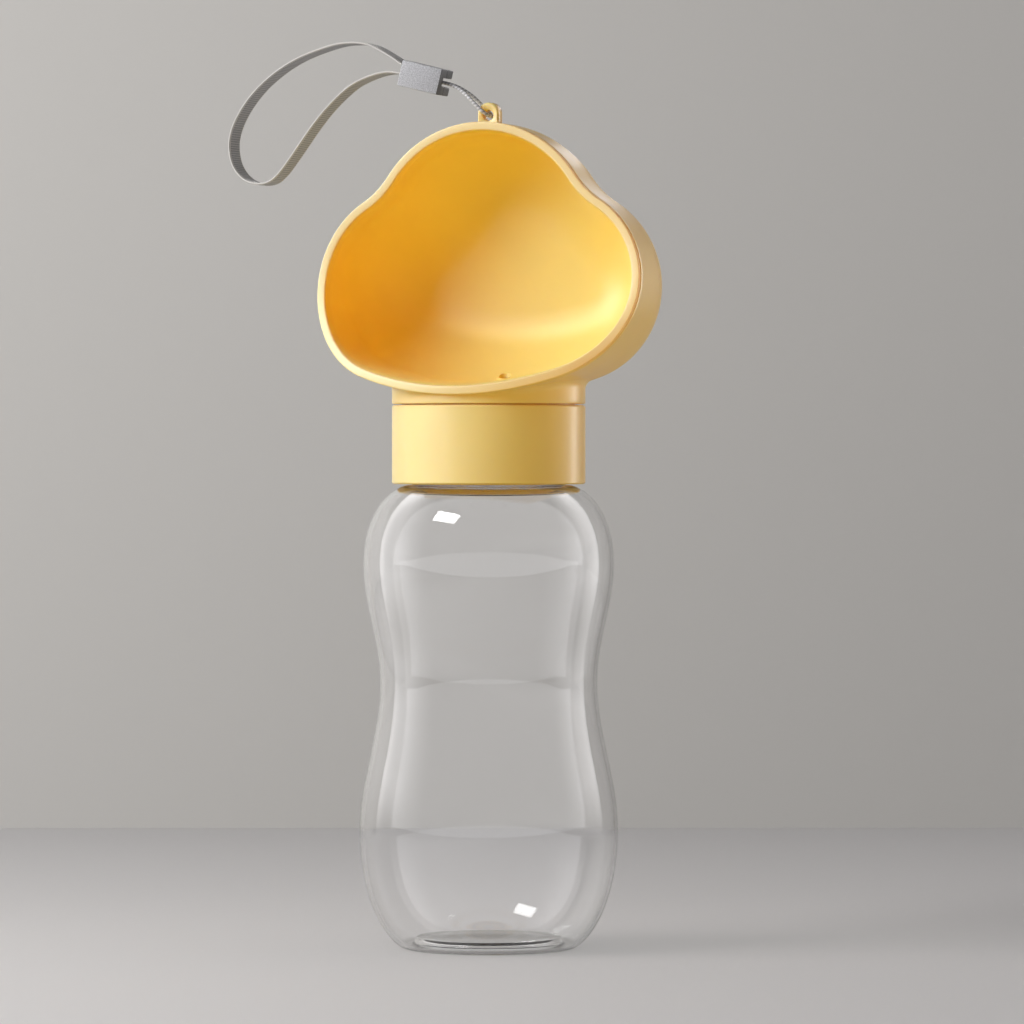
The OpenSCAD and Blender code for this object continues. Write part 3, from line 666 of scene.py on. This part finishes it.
def outline(d):
    """The bowl's outline drawn in by d: x and height above the lip, with 0 at the lip's middle"""
    half = []
    for c, r, a1, a2, n in [
            (lip_c, LIP_ARC - d, -math.pi / 2, heading(side_c - lip_c), 18),
            (side_c, SIDE_R - d, heading(side_c - lip_c), heading(dip_c - side_c), 44),
            (dip_c, DIP_R + d, heading(side_c - dip_c), heading(crown_c - dip_c), 12),
            (crown_c, CROWN_R - d, heading(dip_c - crown_c), math.pi / 2, 26)]:
        for i in range(n):
            a = mix(a1, a2, i / n)
            half.append((c[0] + r * math.cos(a), c[1] + r * math.sin(a)))
    return half + [(0.0, BOWL_H - d)] + [(-x, z) for x, z in half[:0:-1]]


EDGE = outline(0)
COUNT = len(EDGE)


def rise(i):
    """How high a point of the outline lies: 0 at the lip, 1 at the crown"""
    return EDGE[i][1] / BOWL_H


def rim_y(part):
    """Where the front rim lies at a part of the bowl's height"""
    return -CROWN_REACH - (LIP_REACH - CROWN_REACH) * (1 - part) ** 4


def front_ring(d, dy):
    """The outline drawn in by d, dy behind the front rim"""
    return [(x, rim_y(rise(i)) + dy, LIP_Z + z) for i, (x, z) in enumerate(outline(d))]


def back_ring(d, grow, back, t, start=None):
    """A ring of the rounded back at turn t, from the flank (or from start) to the back"""
    out = []
    for i, (x, z) in enumerate(outline(d + grow * (1 - math.cos(t)))):
        y = mix(LIP_FLANK, CROWN_FLANK, rise(i)) if start is None else start
        out.append((x, mix(y, back, math.sin(t)), LIP_Z + z))
    return out


def back_rings(d, grow, back, start=None, steps=26):
    return [back_ring(d, grow, back, math.pi / 2 * k / steps, start) for k in range(steps + 1)]


def skin(rings, first, last):
    """A closed skin through equally long rings, with a middle point at each end"""
    verts = [v for ring in rings for v in ring]
    n = len(rings[0])
    faces = grid_faces(len(rings), n)
    verts += [first, last]
    a, b, base = len(verts) - 2, len(verts) - 1, (len(rings) - 1) * n
    faces += [(a, (i + 1) % n, i) for i in range(n)]
    faces += [(b, base + i, base + (i + 1) % n) for i in range(n)]
    return verts, faces


def round_edge(d0, y0, d1, y1, corner, steps=4):
    """Rings along a rounded corner from (d0, y0) to (d1, y1)"""
    out = []
    for k in range(1, steps):
        t = k / steps
        a, b, c = (1 - t) ** 2, 2 * t * (1 - t), t * t
        out.append(front_ring(a * d0 + b * corner[0] + c * d1, a * y0 + b * corner[1] + c * y1))
    return out


def straight(ring_a, ring_b, steps):
    """Rings between two rings, evenly spaced"""
    return [[tuple(mix(p[i], q[i], k / steps) for i in range(3)) for p, q in zip(ring_a, ring_b)]
            for k in range(1, steps)]


def make_liner():
    """The inner bowl with its rim, and its spigot with the water outlet"""
    nest = SHELL_WALL + LINER_GAP
    inside = nest + LINER_WALL
    grow = BACK_ROUND - inside
    back = BACK - SHELL_WALL - 0.5
    flank = 1.5
    seat = RIM_T + GROOVE_W - LINER_GAP
    e = 0.35
    inner = back_rings(inside, grow, back - LINER_WALL, flank)
    outer = back_rings(nest, grow, back, flank)
    mouth = front_ring(inside, RIM_T + 1.0)
    front = [mouth, front_ring(RIM_W + 0.06, e + 0.05)]
    front += round_edge(RIM_W + 0.06, e + 0.05, RIM_W - e, 0, (RIM_W, 0))
    front += [front_ring(RIM_W - e, 0), front_ring(RIM_W / 2, 0), front_ring(e, 0)]
    front += round_edge(e, 0, 0, e, (0, 0))
    front += [front_ring(0, e), front_ring(0, RIM_T - 0.15)]
    front += round_edge(0, RIM_T - 0.15, 0.15, RIM_T, (0, RIM_T), 3)
    front += [front_ring(0.15, RIM_T), front_ring(GROOVE_D, RIM_T), front_ring(GROOVE_D, seat),
              front_ring(nest, seat)]
    rings = inner[::-1] + straight(inner[0], mouth, 8) + front
    rings += straight(front[-1], outer[0], 4) + outer
    verts, faces = skin(rings, (0, back - LINER_WALL, LIP_Z + side_z), (0, back, LIP_Z + side_z))
    obj = outward(add_object("bowl_inner", verts, faces))

    def rod(name, r, low, high, steps):
        profile = [(0, low), (r, low), (r, high), (0, high)]
        return outward(add_object(name, *lathe(profile, steps, 0, OUTLET_Y)))
    bore = rod("bore", OUTLET_R, 138, 152, 32)
    spigot = rod("spigot", SPIGOT_R, 139.4, 143.3, 40)
    cut(obj, [(spigot, "UNION"), (bore, "DIFFERENCE")])
    smooth_by_angle(obj, 32)
    obj.data.materials.append(mat_bowl)
    obj.data.materials.append(mat_rim_painted_light)
    # painted light: the rim's flat land gets a paler copy of the plastic, for the light that the
    # thin rim catches and lets through
    ring = [Vector(v) for v in front_ring(RIM_W / 2, 0)]
    tree = KDTree(COUNT)
    for i, v in enumerate(ring):
        tree.insert(v, i)
    tree.balance()
    for face in obj.data.polygons:
        c = face.center / MM
        near, _, _ = tree.find(c)
        if abs(c[1] - near[1]) < 0.75 and (c - near).length < RIM_W / 2 + 0.45:
            face.material_index = 1
    return obj


FILLET = 2.6


def under_z(x, y):
    """Height of the shell's underside at (x, y)"""
    flank = LIP_FLANK - 0.3
    d = 0.0
    if y > flank:
        t = math.asin(min(1.0, (y - flank) / (BACK - flank)))
        d = BACK_ROUND * (1 - math.cos(t))
    x = abs(x)
    r = LIP_ARC - d
    if x < SIDE_X * r / (LIP_ARC - SIDE_R):
        return LIP_Z + LIP_ARC - math.sqrt(r * r - x * x)
    s = SIDE_R - d
    return LIP_Z + side_z - math.sqrt(max(0.0, s * s - (x - SIDE_X) ** 2))


def lip_edge_y(x):
    """Front edge of the shell below the lip at x"""
    return rim_y((under_z(x, 0) - LIP_Z) / BOWL_H) + RIM_T + GROOVE_W


def room_outside(u):
    """Room between the stem and the shell's front edge along the ray u"""
    step, steps = 0.1, 90
    if u[1] < 0:
        for j in range(1, steps):
            p = u * (COLLAR_R + j * step)
            if p[1] < lip_edge_y(p[0]):
                return (j - 1) * step
    return step * steps


def make_stem():
    """The stem's tube with a fillet that runs into the shell's underside"""
    columns, verts = 240, []
    for k in range(columns):
        a = 2 * math.pi * k / columns
        u = Vector((math.cos(a), math.sin(a)))
        fillet = min(FILLET, max(0.05, room_outside(u) * 0.85))
        z0 = under_z(*(u * COLLAR_R))
        z1 = under_z(*(u * (COLLAR_R + fillet)))
        m = (z1 - z0) / fillet
        slope = math.sqrt(1 + m * m)
        zc = z0 + m * fillet - fillet * slope
        foot = math.pi / 2 + math.atan(m)
        column = [(CUP_R, under_z(*(u * CUP_R)) + 0.6), (CUP_R, STEM_Z), (COLLAR_R - 0.35, STEM_Z),
                  (COLLAR_R - 0.1, STEM_Z + 0.08), (COLLAR_R, STEM_Z + 0.35)]
        low = max(zc, STEM_Z + 0.5)
        column += [(COLLAR_R, mix(STEM_Z + 0.45, low, j / 4)) for j in range(1, 4)]
        arc = []
        for j in range(11):
            b = mix(math.pi, foot, j / 10)
            arc.append((COLLAR_R + fillet + fillet * math.cos(b), zc + fillet * math.sin(b)))
        arc = [(r, max(z, low + 0.01 * j)) for j, (r, z) in enumerate(arc)]
        end_r = arc[-1][0]
        gap = under_z(*(u * end_r)) - arc[-1][1]
        arc = [(r, z + (gap + 0.02) * (j / 10) ** 2) for j, (r, z) in enumerate(arc)]
        arc.append((end_r - 0.2, arc[-1][1] + 0.5))
        verts += [(u[0] * r, u[1] * r, z) for r, z in column + arc]
    rows = len(verts) // columns
    faces = []
    for k in range(columns):
        j = (k + 1) % columns
        for i in range(rows - 1):
            faces.append((k * rows + i, j * rows + i, j * rows + i + 1, k * rows + i + 1))
    return verts, faces


LUG_FRONT, LUG_BACK, LUG_R, LUG_HOLE_R, LUG_FOOT_Z = -0.6, 2.6, 2.8, 1.35, 206.6


def make_lug():
    """A tab with a round top and a cord hole, let into the crown"""
    y0, y1, r, hole = LUG_FRONT, LUG_BACK, LUG_R, LUG_HOLE_R
    top = HOLE[2] + 0.5
    n, side_part = 64, 0.12
    edge, half_edge, hole_edge = 0.45, 0.13, 0.3
    loop, around = [], []
    for k in range(n):
        a = 2 * math.pi * k / n
        x, z = r * math.cos(a), top + r * math.sin(a)
        if a > math.pi:
            t = (a - math.pi) / math.pi
            down = min(1.0, min(t, 1 - t) / side_part)
            x, z = mix(-r, r, t), mix(top, LUG_FOOT_Z, down)
            if down < 1:
                x = math.copysign(r, x)
        loop.append(Vector((x, z)))
        around.append((math.cos(a), math.sin(a)))
    middle = Vector((0, top))

    def drawn_in(p, s):
        v = p - middle
        return middle + v * (1 - s / max(v.length, 0.1))
    rings = []
    for y, s in [(y0, edge), (y0 + half_edge, half_edge), (y0 + edge, 0.0),
                 (y1 - edge, 0.0), (y1 - half_edge, half_edge), (y1, edge)]:
        rings.append([(q[0], y, q[1]) for q in (drawn_in(p, s) for p in loop)])
    for y, s in [(y1, hole_edge), (y1 - hole_edge, 0.0), (y0 + hole_edge, 0.0), (y0, hole_edge)]:
        rings.append([(c * (hole + s), y, HOLE[2] + d * (hole + s)) for c, d in around])
    rings.append(rings[0])
    return [v for ring in rings for v in ring], grid_faces(len(rings), n)


def make_shell():
    """The outer bowl, without its stem and lug"""
    edge = RIM_T + GROOVE_W
    inner_back = BACK - SHELL_WALL
    inner = back_rings(SHELL_WALL, BACK_ROUND - SHELL_WALL, inner_back)
    outer = back_rings(0, BACK_ROUND, BACK)
    front_in, front_out = front_ring(SHELL_WALL, edge), front_ring(0.15, edge)
    corner = [front_ring(0.04, edge + 0.04), front_ring(0, edge + 0.15)]
    rings = inner[::-1] + straight(inner[0], front_in, 5) + [front_in, front_out] + corner
    rings += straight(corner[-1], outer[0], 10) + outer
    verts, faces = skin(rings, (0, inner_back, LIP_Z + side_z), (0, BACK, LIP_Z + side_z))
    obj = outward(add_object("bowl_outer", verts, faces))
    smooth_by_angle(obj, 40)
    obj.data.materials.append(mat_amber)
    return obj


liner = make_liner()
shell = make_shell()
stem = outward(add_object("bowl_stem", *make_stem()))
smooth_by_angle(stem, 50)
lug = outward(add_object("strap_lug", *make_lug()))
smooth_by_angle(lug, 50)
for piece in (stem, lug):
    piece.data.materials.append(mat_amber)
for piece in (liner, shell, stem, lug):
    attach(piece, "bowl")
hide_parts("bowl_liner")
for piece in (shell, stem, lug):
    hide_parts("bowl_shell")

# ---------------------------------------------------------------- CAD nodes that stay

FINISH = {
    "collar": mat_amber, "rotor": mat_amber, "neck_gasket": mat_silicone, "port_seal": mat_silicone,
    "vent_valve": mat_silicone, "outlet_tube": mat_silicone, "pivot_o_ring": mat_rubber,
    "stem_o_ring": mat_rubber, "pivot_washer": mat_steel, "pivot_screw": mat_steel,
    "rotor_screws": mat_steel}
amber = [liner, shell, stem, lug]
for name, mat in FINISH.items():
    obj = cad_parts[name]
    if isinstance(obj, str):
        obj = bpy.data.objects[obj]
    for place in obj.material_slots:
        place.material = mat
    if not obj.material_slots:
        obj.data.materials.append(mat)
    if mat is mat_amber:
        amber.append(obj)

# ---------------------------------------------------------------- what each lamp lights


def group(name, members):
    out = bpy.data.collections.new(name)
    for obj in members:
        out.objects.link(obj)
    return out


inside, outside = group("inside", [liner]), group("outside", amber[1:])
amber_pieces, not_amber = group("amber_pieces", amber), group("not_amber", amber)
for entry in not_amber.collection_objects:
    entry.light_linking.link_state = "EXCLUDE"

# ---------------------------------------------------------------- stage and light

UP = Vector((0, 0, 1))
BACKDROP = 0.472
FLOOR_FRONT = 0.608


def at(right, front, up):
    """A place seen from the camera's side, in metres from the bottle's foot"""
    return TO_RIGHT * right + TO_CAMERA * front + UP * up


def toward_light(azimuth, elevation, distance, height=0.13):
    """A place at an angle to the right of the camera's side, seen from the bottle"""
    a, e = math.radians(azimuth), math.radians(elevation)
    return at(distance * math.sin(a) * math.cos(e), distance * math.cos(a) * math.cos(e),
              height + distance * math.sin(e))


AIM = at(0, 0, 0.15)
KEY = toward_light(-69, 22, 1.0, 0.15)


def plane(name, centre, across_, up, width, height, mat):
    verts = []
    for a, b in ((-1, -1), (1, -1), (1, 1), (-1, 1)):
        verts.append((centre + across_ * (a * width / 2) + up * (b * height / 2)) / MM)
    obj = add_object(name, verts, [(0, 1, 2, 3)], smooth=False)
    obj.data.materials.append(mat)
    return obj


def matte(name, colour, axis, place, darkest, bounce, lamp=None):
    """Plain pale stage with painted shade: it darkens evenly along an axis, and gives less light
    back than it shows.
    Under a lamp it is painted darker too, or other views would clip to white there."""
    m = Nodes(name)
    spot = m.place()
    # painted shade: the colour darkens along the axis, and under the lamp
    shade = m.span(m.along(spot, axis), darkest, 1.0, *place, kind="SMOOTHSTEP")
    if lamp:
        under = m.along(spot, Vector((lamp[0], lamp[1], 0)).normalized())
        shade = m.calc("MULTIPLY", shade, m.span(under, 1.0, 0.22, 0.18, 0.6, "SMOOTHSTEP"))
    less = m.span(m.rays()["Is Diffuse Ray"], 1.0, bounce)
    m.set(Base_Color=m.scaled(m.scaled(colour[:3], shade), less))
    m.set(Roughness=0.9, Specular_IOR_Level=0.2)
    # from behind it isn't there, so that it hides nothing in the other views
    behind = m.add("ShaderNodeNewGeometry").outputs["Backfacing"]
    m.blend(behind, m.bsdf.outputs["BSDF"], m.clear())
    return m.mat


plane("floor", at(0, (FLOOR_FRONT - BACKDROP) / 2, 0), TO_CAMERA, TO_RIGHT,
      FLOOR_FRONT + BACKDROP, 8,
      matte("floor", linear(232, 230, 230), TO_CAMERA, (-0.47, 0.25), 0.95, 0.8, KEY))
plane("backdrop", at(0, -BACKDROP, 2), TO_RIGHT, UP, 8, 4,
      matte("backdrop", linear(220, 218, 215), UP, (0.0, 0.3), 0.92, 0.4))


def area_light(name, place, size, level, colour, on, target=AIM, shine=False):
    """level: what a white surface facing the lamp at the target is lit to; on: all that it lights;
    shine: it is only mirrored, and lights nothing"""
    data = bpy.data.lights.new(name, "AREA")
    data.shape = "RECTANGLE"
    data.size, data.size_y = size
    data.energy = level * math.pi ** 2 * (target - place).length_squared
    data.color = colour
    obj = bpy.data.objects.new(name, data)
    obj.location = place
    obj.rotation_euler = (target - place).to_track_quat("-Z", "Y").to_euler()
    obj.visible_camera = obj.visible_transmission = False
    obj.visible_glossy, obj.visible_diffuse = shine, not shine
    obj.light_linking.receiver_collection = on
    scene.collection.objects.link(obj)


KEY_SIZE, KEY_COLOUR = (0.84, 0.66), (1.0, 0.99, 0.975)
area_light("key", KEY, KEY_SIZE, 1.22, KEY_COLOUR, not_amber)
area_light("fill", toward_light(100, 25, 1.2), (0.6, 0.8), 0.10, (1.0, 0.96, 0.97), not_amber)
# amber plastic is pale in full light and deep orange in shade, so it has lamps of its own: the key,
# the light that the room and the floor give back, and the warm light that its walls let through
area_light("amber_key", toward_light(-72, 25, 1.0, 0.15), KEY_SIZE, 0.97, (1.0, 1.38, 3.1),
           amber_pieces)
area_light("amber_room", toward_light(-25, 42, 1.1), (0.8, 0.5), 0.04, (1.0, 0.95, 0.2),
           amber_pieces)
area_light("amber_floor", at(0.03, 0.28, 0.105), (0.3, 0.06), 0.23, (1.0, 0.92, 0.25), outside)
area_light("bowl_floor", at(0.03, 0.26, 0.03), (0.3, 0.06), 0.19, (1.0, 0.85, 0.0), inside,
           target=at(0, 0, 0.17))
area_light("amber_fill", toward_light(110, -2, 1.2), (0.6, 0.3), 0.50, (1.0, 1.1, 2.4),
           amber_pieces)
area_light("amber_warmth", toward_light(45, 20, 1.0), (0.8, 0.6), 0.24, (1.0, 0.12, 0.0), inside)
# the amber pieces mirror the key and a strip behind them; the bottle mirrors the cards below
area_light("key_shine", KEY, KEY_SIZE, 3.2, KEY_COLOUR, amber_pieces, shine=True)
area_light("strip_shine", toward_light(122, 8, 0.8), (0.12, 0.5), 0.4, (1.0, 0.96, 0.94),
           amber_pieces, shine=True)


def reflection_only(obj):
    obj.visible_camera = obj.visible_diffuse = obj.visible_shadow = False


CARD_DISTANCE, CARD_FOOT, CARD_MIDDLE = 0.2, 0.012, 0.10
THROUGH = 0.3


def card(name, side, level, near, far, stops):
    """A white card beside the bottle that only reflections see; it fades towards its front edge.
    near and far are the turns of the bottle's wall in which its two edges are mirrored."""
    rows, cols, foot_rows = 24, 16, 9
    top_tilt, top_draw, least = 62, 12, 0.35
    verts, uvs = [], []
    for i in range(rows + 1):
        tilt = math.radians(top_tilt * i / rows)
        for j in range(cols + 1):
            t = math.radians(mix(near, far - top_draw * math.sin(tilt) ** 2, j / cols))
            r = Vector((side * math.sin(2 * t) * math.cos(tilt) ** 2,
                        2 * (math.cos(t) * math.cos(tilt)) ** 2 - 1,
                        math.cos(t) * math.sin(2 * tilt)))
            reach = CARD_DISTANCE / max(least, math.hypot(r[0], r[1]))
            verts.append(at(r[0] * reach, r[1] * reach, CARD_MIDDLE + r[2] * reach) / MM)
            uvs.append((j / cols, 0.5 + 0.5 * i / rows))
    # the foot hangs straight down from the first row
    foot, foot_uvs = [], []
    for i in range(foot_rows):
        for j in range(cols + 1):
            v = verts[j]
            foot.append(Vector((v[0], v[1], mix(CARD_FOOT / MM, v[2], i / foot_rows))))
            foot_uvs.append((j / cols, 0.5 * i / foot_rows))
    faces = grid_faces(foot_rows + rows + 1, cols + 1, closed=False)
    obj = add_object(name, foot + verts, faces, uvs=foot_uvs + uvs)
    m = Nodes(name)
    uv = m.uv()
    band = m.ramp(uv["X"], [(place, (v, v, v, 1)) for place, v in stops])
    fade = m.ramp(uv["Y"], [(0.0, (0, 0, 0, 1)), (0.35, (1, 1, 1, 1))])
    # seen straight through the bottle it is faint, or it would fill the bottle in a side view
    seen = m.span(m.rays()["Is Transmission Ray"], level, THROUGH * level)
    strength = m.calc("MULTIPLY", m.calc("MULTIPLY", band, fade), seen)
    # where it gives no light it isn't there
    both = m.add("ShaderNodeAddShader")
    m.link(m.clear(), both.inputs[0])
    m.link(m.glow(strength, (1.0, 0.985, 0.99, 1)), both.inputs[1])
    m.show(both.outputs["Shader"])
    obj.data.materials.append(m.mat)
    reflection_only(obj)


BAND, EVEN = [(0.0, 0.0), (0.28, 0.40), (0.6, 1.0)], [(0.0, 1.0), (1.0, 1.0)]
card("left_card", -1, 3.2, 29, 56, BAND)
card("right_card", 1, 2.7, 34, 57, BAND)
card("left_edge_card", -1, 0.22, 57, 84, EVEN)
card("right_edge_card", 1, 0.04, 58, 84, EVEN)


def window_card(name, place, target, width, height, level):
    """A small bright window, seen only in reflections"""
    away = (place - target).normalized()
    side = away.cross(UP).normalized()
    m = Nodes(name)
    m.show(m.glow(level))
    reflection_only(plane(name, place, side, side.cross(away), width, height, m.mat))


window_card("window", toward_light(-51.6, 44.4, 0.9, 0.108), at(0, 0, 0.108), 0.33, 0.19, 22)

# the world is faint as a light, bright in reflections and pale behind the stage
world = bpy.data.worlds.new("world")
world.use_nodes = True
sky = Tree(world.node_tree)
rays = sky.rays()
mirrored = sky.calc("MAXIMUM", rays["Is Glossy Ray"], rays["Is Transmission Ray"])
level = sky.span(rays["Is Camera Ray"], sky.span(mirrored, 0.07, 1.15), 0.5)
back = sky.tree.nodes["Background"]
sky.put(level, back.inputs["Strength"])
back.inputs["Color"].default_value = (0.985, 0.98, 1.0, 1)
scene.world = world
